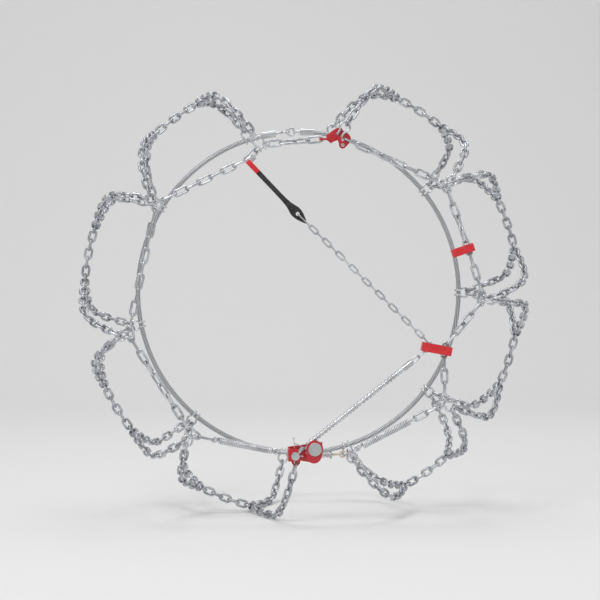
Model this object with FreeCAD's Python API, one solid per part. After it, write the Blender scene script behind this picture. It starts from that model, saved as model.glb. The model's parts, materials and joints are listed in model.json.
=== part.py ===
import FreeCAD, Part
import math
import os

# A diamond-pattern tyre snow chain in its fitted shape, with a ratchet tensioner.
# Frame: origin at the wheel centre, wheel axle along Y, the outer side of the wheel
# faces -Y, +X to the right and +Z up. Millimetres and degrees throughout.

# driving dimensions
tyre_radius = 368.5
tread_line = 8.5            # height of the chain's centre line over the tread
side_plane = -128.0         # y of the outer side chain
rope_plane = -138.0         # y of the toothed rope and the tension line
inner_plane = 128.5         # y of the inner hoop rope
gap = 0.3                   # running gap between two touching wires

side_wire = 4.0
side_width = 13.5
side_pitch = 22.4
cross_wire = 4.2
cross_width = 15.0
cross_pitch = 14.3
thin_wire = 2.6
thin_width = 9.6
thin_pitch = 15.4

ring_radius = 7.5           # junction ring, to the middle of its wire
hook_wire = 3.8             # omega hooks
hook_foot = 4.2             # half the distance between the two feet
hook_crown = 8.5            # radius of the round top
hook_bend = 4.0             # bend between leg and round top
bar_links = 5               # links in a circumferential bar

hoop_radius = 290.0         # inner hoop rope
hoop_wire = 8.0
hoop_top = 94.0             # where the hoop closes
hoop_opening = 5.0

bead_pitch = 7.2
bead_length = 4.8
bead_radius = 4.4
core_radius = 2.4
wheel_pockets = 11
wheel_pitch_radius = wheel_pockets * bead_pitch / (2 * math.pi)
wheel_x = 10.4
wheel_z = -250.1
pawl_x = -21.8
pawl_z = -261.4
gear_teeth = 15
gear_radius = 15.0
gear_depth = 2.2

spring_wire = 2.8
spring_radius = 5.9

V = FreeCAD.Vector


# ---------- small helpers ----------

def polar(radius, angle, y=0.0):
    a = math.radians(angle)
    return V(radius * math.cos(a), y, radius * math.sin(a))


def flat(x, z, y=side_plane):
    return V(x, y, z)


def unit(v):
    return v * (1.0 / v.Length)


def place(shape, origin, x_dir, z_dir):
    """A copy of the shape with its own X along x_dir and its own Z near z_dir."""
    x = unit(x_dir)
    z = unit(z_dir - x * z_dir.dot(x))
    y = z.cross(x)
    m = FreeCAD.Matrix(x.x, y.x, z.x, origin.x,
                       x.y, y.y, z.y, origin.y,
                       x.z, y.z, z.z, origin.z, 0, 0, 0, 1)
    copy = shape.copy()
    copy.Placement = FreeCAD.Placement(m)
    return copy


def turned(vector, axis, angle):
    return FreeCAD.Rotation(axis, angle).multVec(vector)


def round_wire(edges, radius, start, direction):
    """A round bar of the given radius along a chain of tangent edges."""
    profile = Part.Wire([Part.makeCircle(radius, start, direction)])
    bar = Part.Wire(edges).makePipeShell([profile], True, False)
    if bar.Volume < 0:
        bar.reverse()
    return bar


def line(a, b):
    return Part.LineSegment(a, b).toShape()


def arc(a, middle, b):
    return Part.Arc(a, middle, b).toShape()


def link(pitch, width, wire):
    """One closed link, flat in its own XY plane, long way along X."""
    r = (width - wire) / 2
    h = (pitch + gap + wire) / 2 - r
    edges = [line(V(-h, -r, 0), V(h, -r, 0)), arc(V(h, -r, 0), V(h + r, 0, 0), V(h, r, 0)),
             line(V(h, r, 0), V(-h, r, 0)), arc(V(-h, r, 0), V(-h - r, 0, 0), V(-h, -r, 0))]
    return round_wire(edges, wire / 2, V(-h, -r, 0), V(1, 0, 0))


def cylinder(radius, start, direction, length):
    return Part.makeCylinder(radius, length, start, unit(direction))


def plate(points, y_front, y_back):
    """A flat plate in the XZ plane from an outline of (x, z) points."""
    corners = [V(x, y_front, z) for x, z in points]
    face = Part.Face(Part.makePolygon(corners + corners[:1]))
    return face.extrude(V(0, y_back - y_front, 0))


def disc_y(x, z, radius, y_front, y_back):
    return Part.makeCylinder(radius, y_back - y_front, V(x, y_front, z), V(0, 1, 0))


def lobed_plate(x1, z1, r1, x2, z2, r2, y_front, y_back):
    """The plate that two discs span, with straight sides between them."""
    dx = x2 - x1
    dz = z2 - z1
    along = math.atan2(dz, dx)
    spread = math.acos((r1 - r2) / math.hypot(dx, dz))
    corners = []
    for a, x, z, r in ((along + spread, x1, z1, r1), (along + spread, x2, z2, r2),
                       (along - spread, x2, z2, r2), (along - spread, x1, z1, r1)):
        corners.append((x + r * math.cos(a), z + r * math.sin(a)))
    body = plate(corners, y_front, y_back)
    body = body.fuse(disc_y(x1, z1, r1, y_front, y_back))
    return body.fuse(disc_y(x2, z2, r2, y_front, y_back)).removeSplitter()


# ---------- chains ----------

def walk(points, pitch, count):
    """Steps of one chord length along a dense path; gives the joints and what is left."""
    joints = [points[0]]
    here = points[0]
    index = 1
    while len(joints) <= count and index < len(points):
        if (points[index] - here).Length < pitch:
            index += 1
            continue
        a = points[index - 1]
        b = points[index]
        low = 0.0
        high = 1.0
        for _ in range(30):
            mid = (low + high) / 2
            if (a + (b - a) * mid - here).Length < pitch:
                low = mid
            else:
                high = mid
        here = a + (b - a) * low
        joints.append(here)
    return joints


def even_joints(points, count):
    """Joints of `count` equal links that reach from the first point to the last."""
    low = 1.0
    high = (sum((b - a).Length for a, b in zip(points, points[1:])) / count) * 1.2
    for _ in range(50):
        mid = (low + high) / 2
        if len(walk(points, mid, count)) > count:
            low = mid
        else:
            high = mid
    joints = walk(points, low, count)
    joints[-1] = points[-1]
    return joints


def lay(joints, width, wire, rolls, normals):
    """Links between the joints; roll 0 lies flat on the normal, roll 90 stands up."""
    length = sum((b - a).Length for a, b in zip(joints, joints[1:])) / (len(joints) - 1)
    shape = link(length, width, wire)
    links = []
    for i, (a, b) in enumerate(zip(joints, joints[1:])):
        u = unit(b - a)
        n = normals[i] - u * normals[i].dot(u)
        links.append(place(shape, (a + b) * 0.5, u, turned(unit(n), u, rolls[i])))
    return links


def straight_chain(start, end, count, width, wire, first_roll, twist=0.0):
    joints = [start + (end - start) * (i / count) for i in range(count + 1)]
    rolls = [first_roll + 90 * i + twist * i / max(count - 1, 1) for i in range(count)]
    return lay(joints, width, wire, rolls, [V(0, -1, 0)] * count)


def seat(end_joint, direction, width, wire, towards):
    """Where a standing link sits in the round end of a flat link that it leaves at an angle."""
    slack = (width - wire) / 2 - (wire + gap) / 2
    centre = end_joint - direction * slack
    return centre + unit(towards - centre) * slack


def seat_on_edge(end_joint, direction, wire, towards):
    """The same for a flat link that leaves a standing one."""
    centre = end_joint + direction * ((wire + gap) / 2)
    return centre - unit(towards - centre) * ((wire + gap) / 2)


# ---------- the net: node hooks, arms, junction rings and bars ----------

# node: x and z of the node link's middle, its direction, and how the hook grips it
nodes = {
    "A": (-76.4, 248.3, 28.0, "edge"),
    "S": (-94.3, 235.3, 48.0, "face"),
    "B": (-246.6, 154.3, 52.5, "face"),
    "C": (-293.5, -59.0, 98.5, "face"),
    "D": (-190.5, -224.0, 141.0, "face"),
    "G": (224.5, -173.6, 59.0, "face"),
    "H": (290.0, -0.5, 82.0, "face"),
    "I": (227.6, 184.2, 131.5, "face"),
}
# panel: first node, second node, where each arm crosses the shoulder, middle of the bar
panels = [
    ("A", "B", 114.7, 137.1, 125.9),
    ("B", "C", 153.0, 184.5, 168.9),
    ("C", "D", 197.0, 225.8, 211.4),
    ("D", "E", 235.5, 262.2, 248.9),
    ("F", "G", 293.8, 316.2, 305.0),
    ("G", "H", 326.7, 358.1, 342.4),
    ("H", "I", 365.0, 393.5, 379.3),
    ("I", "J", 403.8, 431.3, 417.5),
]
# arms that lie flat and upright in turn on the sidewall; the others lie half turned
square_arms = {"GF", "DC", "IH", "CB"}

# half profile of the chain line round the tyre, as distance from mid tread and radius
profile = [(0.0, tyre_radius + tread_line), (30.0, 376.8), (60.0, 375.8), (82.0, 373.2), (97.0, 367.8),
           (110.0, 358.5), (119.5, 344.5), (125.5, 326.0), (128.5, 306.0)]
shoulder_out = 92.0         # where the shoulder angle applies


def smooth_profile(end):
    """A smooth curve through the profile, which ends at the hook."""
    points = [p for p in profile if p[1] > end[1] + 9]
    points.append(end)
    curve = Part.BSplineCurve()
    curve.interpolate([V(a, b, 0) for a, b in points])
    return curve.discretize(Number=240)


def arm_path(ring_angle, shoulder_angle, hook_joint, side):
    """The centre line of one arm from its ring to its hook, with the outward normals."""
    hook_radius = math.hypot(hook_joint.x, hook_joint.z)
    hook_angle = math.degrees(math.atan2(hook_joint.z, hook_joint.x))
    while hook_angle < shoulder_angle - 180:
        hook_angle += 360
    half = smooth_profile((abs(hook_joint.y), hook_radius))
    run = [0.0]
    for a, b in zip(half, half[1:]):
        run.append(run[-1] + (b - a).Length)
    knee = next(s for s, p in zip(run, half) if p.x >= shoulder_out)
    points = []
    normals = []
    for i, (s, p) in enumerate(zip(run, half)):
        if s < knee:
            angle = ring_angle + (shoulder_angle - ring_angle) * s / knee
        else:
            angle = shoulder_angle + (hook_angle - shoulder_angle) * (s - knee) / (run[-1] - knee)
        points.append(polar(p.y, angle, side * p.x))
        tangent = half[min(i + 1, len(half) - 1)] - half[max(i - 1, 0)]
        normals.append(unit(polar(tangent.x, angle, -side * tangent.y)))
    return points, normals, run, knee


def lay_arm(ring_angle, shoulder_angle, held_at, radial, side, square):
    """The links of one arm; its last wire goes round the hook's wire at the given point."""
    points = arm_path(ring_angle, shoulder_angle, held_at, side)[0]
    near = next(p for p in points[::-1] if (p - held_at).Length > cross_pitch)
    leaving = unit(near - held_at)
    slope = leaving.y
    inwards = radial * -math.sqrt(1 - slope ** 2) - V(0, slope, 0)
    end_wire = held_at + inwards * ((hook_wire + cross_wire) / 2 + gap)
    hook_joint = end_wire + leaving * ((cross_wire + gap) / 2)
    points, normals, run, knee = arm_path(ring_angle, shoulder_angle, hook_joint, side)
    cut = ring_radius - (cross_wire + gap) / 2
    centre = points[0]
    first = next(i for i, p in enumerate(points) if (p - centre).Length >= cut)
    points = [walk(points, cut, 1)[1]] + points[first:]
    length = sum((b - a).Length for a, b in zip(points, points[1:]))
    count = int(round(length / cross_pitch))
    joints = even_joints(points, count)
    odd = count % 2 == 1
    at_knee = (0.0 if odd else 90.0) if square else 45.0
    at_hook = (0.0 if odd else 90.0) if square else (10.0 if odd else 80.0)
    rolls = []
    here = []
    for i in range(count):
        middle = (joints[i] + joints[i + 1]) * 0.5
        near = min(range(len(points)), key=lambda k: (points[k] - middle).Length)
        near = min(first + near, len(run) - 1)
        here.append(normals[near])
        s = run[near]
        if s < knee:
            twist = at_knee * s / knee
        else:
            twist = at_knee + (at_hook - at_knee) * (s - knee) / (run[-1] - knee)
        rolls.append(90 * (i + 1) + side * twist)
    return lay(joints, cross_width, cross_wire, rolls, here)


def omega_edges(curl_y, leg_y, straight, prong=0.0):
    """The bent wire of a hook in its own frame: X across, Y outwards, Z to the round top."""
    reach = hook_bend + hook_crown
    side_x = hook_foot + hook_bend
    top = straight + math.sqrt(reach ** 2 - side_x ** 2)
    part = hook_bend / reach
    edges = []
    for s in (-1, 1):
        foot = V(s * hook_foot, leg_y, 0)
        knee = V(s * hook_foot, leg_y, straight)
        meet = V(s * side_x * (1 - part), leg_y, straight + (top - straight) * part)
        half_turn = math.atan2(top - straight, side_x) / 2
        bulge = V(s * (side_x - hook_bend * math.cos(half_turn)), leg_y,
                  straight + hook_bend * math.sin(half_turn))
        if prong:
            bend = 2.6
            corner = V(foot.x, leg_y - bend, -bend)
            middle = V(foot.x, leg_y - bend * (1 - math.cos(math.pi / 4)),
                       -bend * math.sin(math.pi / 4))
            leg = [line(corner - V(0, prong, 0), corner), arc(corner, middle, foot)]
            tip = corner - V(0, prong, 0)
        else:
            c = abs(curl_y - leg_y)
            back = math.radians(25)
            far = 1 if curl_y > leg_y else -1
            tip = V(foot.x, curl_y + far * c * math.cos(back), c * math.sin(back))
            leg = [arc(tip, V(foot.x, curl_y, -c), foot)]
        leg += [line(foot, knee), arc(knee, bulge, meet)]
        if s < 0:
            edges = leg
            start = tip
            crown_start = meet
        else:
            edges.append(arc(crown_start, V(0, leg_y, top + hook_crown), meet))
            edges += leg[::-1]
    if prong:
        direction = V(0, 1, 0)
    else:
        direction = V(0, math.sin(back) * far, -math.cos(back))
    return edges, start, direction, top


def omega_hook(grip, z_dir, out, kind, core, straight=1.5):
    """A hook, with the middle of its round top and its own directions."""
    if kind == "face":
        c = core + hook_wire / 2 + gap
        edges, start, direction, top = omega_edges(0.0, c, straight)
        leg_y = c
    elif kind == "edge":
        c = (side_width - side_wire) / 2
        edges, start, direction, top = omega_edges(c, 0.0, straight)
        leg_y = 0.0
    else:
        leg_y = hook_wire / 2 + 2.0
        edges, start, direction, top = omega_edges(0.0, leg_y, straight, prong=7.0)
    body = round_wire(edges, hook_wire / 2, start, direction)
    z = unit(z_dir)
    x = unit(out).cross(z)
    body = place(body, grip, x, z)
    centre = grip + z * top + unit(out) * leg_y
    return body, centre, x, z


def crown_seat(hook, towards, spread):
    """A point on the round top's wire, with the way to the middle of the round top."""
    body, centre, x, z = hook
    lean = spread if x.dot(towards) > 0 else -spread
    a = math.radians(lean)
    radial = z * math.cos(a) + x * math.sin(a)
    return centre + radial * hook_crown, radial


out_front = V(0, -1, 0)
out_back = V(0, 1, 0)
outer_hooks = {}
for name, (x, z, direction, kind) in nodes.items():
    if name == "S":
        continue
    outwards = polar(1.0, direction + 90)
    if outwards.dot(flat(x, z, 0)) < 0:
        outwards = outwards * -1
    grip = flat(x, z)
    if kind == "face":
        grip = grip + outwards * ((side_width - side_wire) / 2)
    outer_hooks[name] = omega_hook(grip, outwards, out_front, kind, side_wire / 2)

closing_grip = flat(53.5, 271.5, side_plane - 1.5)
outer_hooks["J"] = omega_hook(closing_grip, polar(1.0, 56.0), out_front, "prong", 0, 3.5)
anchor_start = V(59.6, -134.0, -259.2)
anchor_end = V(80.8, -128.5, -252.0)
anchor_dir = unit(anchor_end - anchor_start)
anchor_mid = (anchor_start + anchor_end) * 0.5
anchor_front = unit(out_front - anchor_dir * out_front.dot(anchor_dir))
anchor_out = anchor_dir.cross(anchor_front)
outer_hooks["F"] = omega_hook(anchor_mid, anchor_out, anchor_front, "edge", side_wire / 2)
lug_rim = V(-20.2, -128.7, -278.2)

inner_hooks = {}
node_angles = {"A": 108.4, "B": 148.2, "C": 191.2, "D": 229.8, "E": 264.5,
               "F": 287.2, "G": 322.6, "H": 360.0, "I": 399.0, "J": 438.5}
for name, angle in node_angles.items():
    grip = polar(hoop_radius, angle, inner_plane)
    inner_hooks[name] = omega_hook(grip, polar(1.0, angle), out_back, "face", hoop_wire / 2)

half_bar = math.degrees((bar_links * cross_pitch / 2 + ring_radius) / profile[0][1])
rings = []
ring_shape = Part.makeTorus(ring_radius, cross_wire / 2)
panel_arms = []
panel_bars = []
single = {"A", "E", "F", "J"}      # hooks that hold one arm on each side
shared_spread = 34          # angle between a shared hook's middle and each of its arms
shoulder_radius = 350.0
hook_circle = 300.0
for first, second, first_shoulder, second_shoulder, middle in panels:
    arms = []
    ring_angles = (middle - half_bar, middle + half_bar)
    for angle in ring_angles:
        rings.append(place(ring_shape, polar(profile[0][1], angle), V(0, 1, 0), polar(1, angle)))
    ends = ((first, second, ring_angles[0], first_shoulder),
            (second, first, ring_angles[1], second_shoulder))
    for node, other, ring_angle, shoulder in ends:
        towards = polar(shoulder_radius, shoulder) - polar(hook_circle, node_angles[node])
        spread = 0 if node in single else shared_spread
        square = node + other in square_arms
        if node == "E":
            held_at, radial = lug_rim, polar(1, shoulder)
        else:
            held_at, radial = crown_seat(outer_hooks[node], towards, spread)
        arms += lay_arm(ring_angle, shoulder, held_at, radial, -1, square)
        held_at, radial = crown_seat(inner_hooks[node], towards, spread)
        arms += lay_arm(ring_angle, shoulder, held_at, radial, 1, square)
    panel_arms.append(arms)
    rim = ring_radius - (cross_wire + gap) / 2
    ends = []
    for angle, side in zip(ring_angles, (1, -1)):
        along = polar(1, angle + 90 * side)
        ends.append(polar(profile[0][1], angle) + along * rim)
    steps = 120
    start_angle = ring_angles[0] + math.degrees(rim / profile[0][1])
    end_angle = ring_angles[1] - math.degrees(rim / profile[0][1])
    bar_line = [polar(profile[0][1], start_angle + (end_angle - start_angle) * i / steps)
                for i in range(steps + 1)]
    joints = even_joints(bar_line, bar_links)
    rolls = [90 * (i + 1) for i in range(bar_links)]
    normals = [unit(a + b) for a, b in zip(joints, joints[1:])]
    panel_bars.append(lay(joints, cross_width, cross_wire, rolls, normals))

# ---------- the outer side chain ----------


def node_end(name, sign):
    """The joint of a node link, along its direction or against it."""
    x, z, direction, kind = nodes[name]
    return flat(x, z) + polar(sign * side_pitch / 2, direction)


def leave(name, sign, towards):
    """The joint of a chain that leaves a node link towards a point."""
    direction = polar(sign, nodes[name][2])
    end = node_end(name, sign)
    if nodes[name][3] == "face":
        return seat(end, direction, side_width, side_wire, towards)
    return seat_on_edge(end, direction, side_wire, towards)


def node_link(name):
    roll = 0 if nodes[name][3] == "face" else 90
    return straight_chain(node_end(name, -1), node_end(name, 1), 1, side_width, side_wire, roll)


def span(start, end, count, first_roll, twist=0.0):
    return straight_chain(start, end, count, side_width, side_wire, first_roll, twist)


def between(first, first_sign, second, second_sign, count, first_roll, twist=0.0):
    start = leave(first, first_sign, node_end(second, second_sign))
    end = leave(second, second_sign, node_end(first, first_sign))
    return span(start, end, count, first_roll, twist)


eye_joint = flat(22.0, 262.5)
keep_wire = flat(60.4, 263.0)
right_start = keep_wire + polar((side_wire + gap) / 2, -24.7)
spring_left = (flat(-149.1, -236.6), flat(-58.6, -254.4))
spring_right = (flat(90.6, -247.6), flat(171.6, -206.2))
spring_left_joints = (flat(-158.4, -234.8), flat(-51.0, -255.6, -129.6))
spring_right_joints = (anchor_end, flat(179.4, -202.2))
flange_joint = V(-30.8, -130.8, -257.5)
guide_low = flat(227.0, -98.8)
guide_high = flat(231.4, -76.8)


def guide_seat(sign, towards):
    """Where the chain meets the link that runs through the guide clip."""
    end = guide_high if sign > 0 else guide_low
    return seat(end, unit(guide_high - guide_low) * sign, side_width, side_wire, towards)


spare_joint = node_end("H", 1) + unit(node_end("I", -1) - node_end("H", 1)) * 88.0

outer_spans = {
    "a_b": between("S", -1, "B", 1, 7, 90),
    "b_c": between("B", -1, "C", 1, 9, 90),
    "c_d": between("C", -1, "D", 1, 8, 90, 90)
           + span(leave("D", -1, spring_left_joints[0]), spring_left_joints[0], 1, 80),
    "g_h": span(spring_right_joints[1], leave("G", -1, spring_right_joints[1]), 2, 0)
           + span(leave("G", 1, guide_low), guide_seat(-1, node_end("G", 1)), 3, 90)
           + span(guide_low, guide_high, 1, 0)
           + span(guide_seat(1, node_end("H", -1)), leave("H", -1, guide_high), 4, 90, 72),
    "h_i": span(leave("H", 1, spare_joint), spare_joint, 4, 90)
           + span(spare_joint, leave("I", -1, spare_joint), 4, 114, 72),
    "i_j": span(leave("I", 1, right_start), right_start, 8, 66, 114),
    "hook_a": span(leave("A", 1, eye_joint), eye_joint, 4, 10, 66),
}

# ---------- springs ----------


def spring_solid(ends, joints, far_normal):
    """The closed coils as one tube with an end cap, a neck and a round eye at each end."""
    a, b = ends
    axis = unit(b - a)
    tube = cylinder(spring_radius, a, axis, (b - a).Length)
    tube = tube.cut(cylinder(spring_radius - spring_wire, a + axis * spring_wire, axis,
                             (b - a).Length - 2 * spring_wire))
    eye_radius = 4.2
    for end, joint, normal in ((a, joints[0], V(0, -1, 0)), (b, joints[1], far_normal)):
        u = unit(joint - end)
        centre = joint + u * ((spring_wire + gap) / 2 - eye_radius)
        eye = place(Part.makeTorus(eye_radius, spring_wire / 2), centre, u, normal)
        start = end - u * (spring_wire / 2)
        neck_length = (centre - start).Length - eye_radius
        tube = tube.fuse(cylinder(spring_wire / 2, start, u, neck_length)).fuse(eye)
    return tube.removeSplitter()


spring_link_width = 11.0
spring_link_wire = 3.4
spring_link = straight_chain(spring_left_joints[1], flange_joint, 1, spring_link_width,
                             spring_link_wire, 90)

# ---------- closing hook ----------

hook_front = side_plane - 1.5
hook_back = side_plane + 1.5
hook_outline = [(30.0, 261.0), (30.7, 269.5), (43.3, 278.4), (52.2, 282.7), (55.5, 281.2),
                (58.2, 276.6), (63.0, 275.0), (68.6, 269.8), (71.3, 264.6), (68.6, 256.0),
                (61.5, 248.4), (57.0, 246.6), (52.8, 248.8), (51.4, 252.8), (51.0, 257.5),
                (46.4, 258.6), (41.2, 255.2), (37.0, 256.2), (33.0, 260.0)]
closing_hook = plate(hook_outline, hook_front, hook_back)
mouth = 2.4
mouth_dir = polar(1.0, 202.0)
closing_hook = closing_hook.cut(disc_y(keep_wire.x, keep_wire.z, mouth, hook_front, hook_back))
side_step = V(-mouth_dir.z, 0, mouth_dir.x) * mouth
far_mouth = keep_wire + mouth_dir * 22
mouth_corners = [keep_wire + side_step, far_mouth + side_step,
                 far_mouth - side_step, keep_wire - side_step]
closing_hook = closing_hook.cut(plate([(p.x, p.z) for p in mouth_corners], hook_front, hook_back))
keeper_pin = (57.4, 252.6)
closing_hook = closing_hook.cut(disc_y(keeper_pin[0], keeper_pin[1], 1.65, hook_front, hook_back))
# a folded tab at the left end of the hook holds the last link of the side chain
eye_plate = Part.makeBox(16.5, 12, 3, V(18.6, side_plane - 6, 261.0))
eye_wire_x = eye_joint.x + (side_wire + gap) / 2
eye_plate = eye_plate.cut(Part.makeCylinder(2.9, 3, V(eye_wire_x, side_plane, 261.0)))
closing_hook = closing_hook.fuse(eye_plate)
closing_x = outer_hooks["J"][2]
for s in (-1, 1):
    p = closing_grip + closing_x * (s * hook_foot) - outer_hooks["J"][3] * 2.6
    closing_hook = closing_hook.cut(disc_y(p.x, p.z, hook_wire / 2 + 0.4, hook_front, hook_back))
closing_hook = max(closing_hook.Solids, key=lambda s: s.Volume)

keeper_front = hook_front - 2.8
keeper_back = hook_front - 0.4
keeper_outline = [(53.8, 250.6), (49.6, 259.0), (47.9, 265.0), (49.6, 267.6), (53.0, 267.0),
                  (55.2, 261.0), (60.9, 254.4), (60.8, 250.4), (57.4, 248.8)]
hook_keeper = plate(keeper_outline, keeper_front, keeper_back)
hook_keeper = hook_keeper.cut(disc_y(keeper_pin[0], keeper_pin[1], 1.65, keeper_front, keeper_back))
keeper_rivet = disc_y(keeper_pin[0], keeper_pin[1], 1.6, keeper_front - 0.5, hook_back + 0.5)
keeper_rivet = keeper_rivet.fuse(
    disc_y(keeper_pin[0], keeper_pin[1], 3.0, keeper_front - 1.7, keeper_front - 0.35))
keeper_rivet = keeper_rivet.fuse(
    disc_y(keeper_pin[0], keeper_pin[1], 3.0, hook_back + 0.05, hook_back + 1.2))
keeper_rivet = keeper_rivet.cut(      # the hollow front end
    disc_y(keeper_pin[0], keeper_pin[1], 1.1, keeper_front - 1.7, keeper_front + 1.5))

# ---------- ratchet tensioner ----------

back_front = -130.0         # front face of the back plate
back_back = -127.4
cover_front = -149.0        # big cover over the wheel
cover_back = -146.6
body_front = -147.0         # pressed front plate over the pawl
body_back = -144.6
flange_left = -33.6
flange_right = -31.2
axle_radius = 4.0
pawl_pin_radius = 2.0

body_outline = [(flange_left, -249.0), (-18.4, -249.0), (-14.6, -261.4), (-13.0, -267.0),
                (-15.6, -270.6), (flange_left, -270.0)]
ratchet_body = plate(body_outline, body_front, body_back)
back_outline = [(flange_left, -247.6), (24.0, -240.0), (24.4, -256.0), (18.0, -271.0),
                (2.0, -273.4), (-12.5, -270.9), (-13.4, -275.6), (-17.0, -279.4),
                (-23.4, -279.4), (-26.8, -275.6), (-28.4, -270.0), (flange_left, -270.0)]
ratchet_body = ratchet_body.fuse(plate(back_outline, back_front, back_back))
flange = Part.makeBox(flange_right - flange_left, back_back - body_front, 21.0,
                      V(flange_left, body_front, -270.0))
ratchet_body = ratchet_body.fuse(flange)
notch = Part.makeBox(14.0, 8.0, 12.0, V(flange_left - 1, -129.0, -263.5))
ratchet_body = ratchet_body.cut(notch)
notch = Part.makeBox(9.6, 8.0, 12.0, V(flange_right, -131.0, -263.5))
ratchet_body = ratchet_body.cut(notch)
ratchet_body = ratchet_body.cut(cylinder(2.3, V(flange_left - 1, -134.6, -257.5), V(1, 0, 0), 5))
lug_hole = (lug_rim.x, lug_rim.z + 4.3)
ratchet_body = ratchet_body.cut(disc_y(lug_hole[0], lug_hole[1], 3.1, back_front, back_back))
ratchet_body = ratchet_body.cut(disc_y(wheel_x, wheel_z, axle_radius + 0.05, back_front, back_back))
for y0, y1 in ((body_front, body_back), (back_front, back_back)):
    ratchet_body = ratchet_body.cut(disc_y(pawl_x, pawl_z, pawl_pin_radius + 0.05, y0, y1))
ratchet_body = ratchet_body.removeSplitter()

wheel_cover = lobed_plate(wheel_x - 0.4, -249.4, 14.0, 9.0, -261.0, 12.4, cover_front, cover_back)
wheel_cover = wheel_cover.cut(disc_y(wheel_x, wheel_z, axle_radius + 0.05, cover_front, cover_back))
spacer_places = ((17.6, -267.0), (3.0, -268.6))
for x, z in spacer_places:
    wheel_cover = wheel_cover.fuse(disc_y(x, z, 1.8, cover_back, back_front - 0.05))

cap_radius = 11.2
wheel_axle = disc_y(wheel_x, wheel_z, axle_radius, cover_front - 0.5, back_back + 0.6)
cap = disc_y(wheel_x, wheel_z, cap_radius, cover_front - 2.6, cover_front - 0.1)
cap = cap.makeFillet(0.9, [e for e in cap.Edges if e.BoundBox.YMax < cover_front - 2.5])
wheel_axle = wheel_axle.fuse(cap)
wheel_axle = wheel_axle.fuse(disc_y(wheel_x, wheel_z, 6.0, back_back + 0.05, back_back + 1.6))

pawl_axle = disc_y(pawl_x, pawl_z, pawl_pin_radius, body_front - 0.5, back_back + 0.6)
cap = disc_y(pawl_x, pawl_z, 7.0, body_front - 2.4, body_front - 0.1)
cap = cap.makeFillet(0.8, [e for e in cap.Edges if e.BoundBox.YMax < body_front - 2.3])
pawl_axle = pawl_axle.fuse(cap)
pawl_axle = pawl_axle.fuse(disc_y(pawl_x, pawl_z, 3.6, back_back + 0.05, back_back + 1.4))

gear_front = -133.2
gear_back = -130.6
tooth_angle = 360.0 / gear_teeth
tip_angle = 172.0           # where the pawl stands in the ratchet teeth
outline = []
for i in range(gear_teeth):
    start = tip_angle + i * tooth_angle
    low = polar(gear_radius - gear_depth, start)
    high = polar(gear_radius, start)
    outline.append((wheel_x + high.x, wheel_z + high.z))
    outline.append((wheel_x + low.x, wheel_z + low.z))
ratchet_wheel = plate(outline, gear_front, gear_back)
hub_radius = 7.6
hub_front = rope_plane - 5.7
ratchet_wheel = ratchet_wheel.fuse(disc_y(wheel_x, wheel_z, hub_radius, hub_front, gear_front))
cheek_radius = 11.6
ratchet_wheel = ratchet_wheel.fuse(disc_y(wheel_x, wheel_z, cheek_radius, hub_front, hub_front + 0.8))
ratchet_wheel = ratchet_wheel.cut(disc_y(wheel_x, wheel_z, axle_radius + 0.05, hub_front, gear_back))

# the pawl reaches from its axle up to the ratchet teeth
pawl_bite = 0.6             # how far its edge stands in a tooth
pawl_clearance = 0.6        # gap to the steep side of that tooth
tip = polar(gear_radius - pawl_bite, tip_angle) + V(wheel_x, 0, wheel_z)
pawl_centre = V(pawl_x, 0, pawl_z)
reach = unit(tip - pawl_centre)
across = V(-reach.z, 0, reach.x)
tip_back = tip - polar(pawl_clearance, tip_angle - 90)
pawl_points = [pawl_centre + across * 2.6, tip_back + polar(5.0, tip_angle) + across * 1.6,
               tip_back, tip_back + polar(1.3, tip_angle + 90),
               tip_back + polar(4.6, tip_angle + 60), pawl_centre - across * 3.0]
pawl = plate([(p.x, p.z) for p in pawl_points], gear_front, gear_back)
pawl = pawl.fuse(disc_y(pawl_x, pawl_z, 3.6, body_back + 0.6, gear_back))
pawl = pawl.cut(disc_y(pawl_x, pawl_z, pawl_pin_radius + 0.05, body_back, back_front))
pawl = pawl.removeSplitter()

lever_y = -139.5
lever_wire = 0.9
lever_points = [V(pawl_x - 0.6, lever_y, pawl_z + 3.0), V(pawl_x - 1.4, lever_y, -246.0),
                V(-24.2, lever_y, -236.6), V(-24.6, lever_y, -231.9)]
release_lever = Part.makeSphere(1.9, lever_points[-1])
for a, b in zip(lever_points, lever_points[1:]):
    release_lever = release_lever.fuse(cylinder(lever_wire, a, b - a, (b - a).Length))
    release_lever = release_lever.fuse(Part.makeSphere(lever_wire, a))
thumb_points = [V(-23.4, lever_y, -240.4), V(-16.0, lever_y, -243.6), V(-12.4, lever_y, -245.2)]
for a, b in zip(thumb_points, thumb_points[1:]):
    release_lever = release_lever.fuse(cylinder(lever_wire, a, b - a, (b - a).Length))
    release_lever = release_lever.fuse(Part.makeSphere(lever_wire, b))
release_lever = release_lever.cut(disc_y(pawl_x, pawl_z, 3.62, -145, gear_back))

spring_y = -142.6
pawl_spring = Part.makeTorus(4.6, 0.55, V(pawl_x, spring_y, pawl_z), V(0, 1, 0))
for a, b in ((V(pawl_x + 4.6, spring_y, pawl_z), V(-8.2, spring_y, -262.0)),
             (V(pawl_x + 2.4, spring_y, pawl_z + 3.9), V(-14.6, spring_y, -250.6))):
    pawl_spring = pawl_spring.fuse(cylinder(0.55, a, b - a, (b - a).Length))

# ---------- toothed rope ----------

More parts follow.
